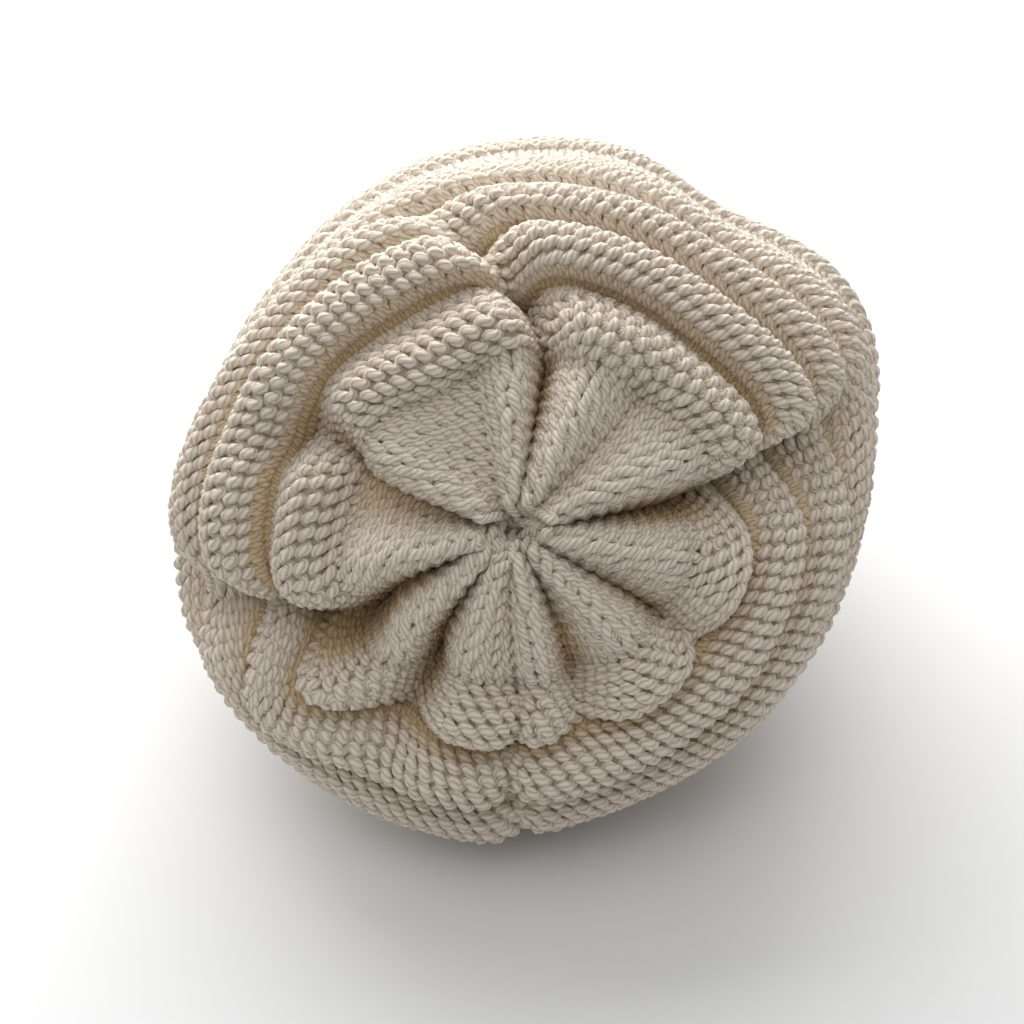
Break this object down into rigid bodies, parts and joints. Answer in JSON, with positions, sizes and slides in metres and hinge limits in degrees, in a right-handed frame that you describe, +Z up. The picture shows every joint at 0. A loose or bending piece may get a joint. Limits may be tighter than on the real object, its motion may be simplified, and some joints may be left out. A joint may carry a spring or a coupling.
{
  "type": "slouchy beanie",
  "caption": "Slouchy knitted hat with a ribbed brim band, a drooping bag of rolled welts and a gathered star crown.",
  "frame": {"origin": "on the floor plane under the middle of the hat's outline, with the rim standing on it", "axes": "+Z up out of the head opening towards the crown, +Y towards the wearer's face, the bag slouching to -Y"},
  "size_m": [0.2259, 0.242, 0.1728],
  "materials": {
    "cream_yarn": "plied wool-blend yarn, hand knitted, matt with a slight sheen"
  },
  "bodies": {
    "root": {"brim_band": "cream_yarn", "ridged_body": "cream_yarn", "crown": "cream_yarn"}
  },
  "joints": []
}
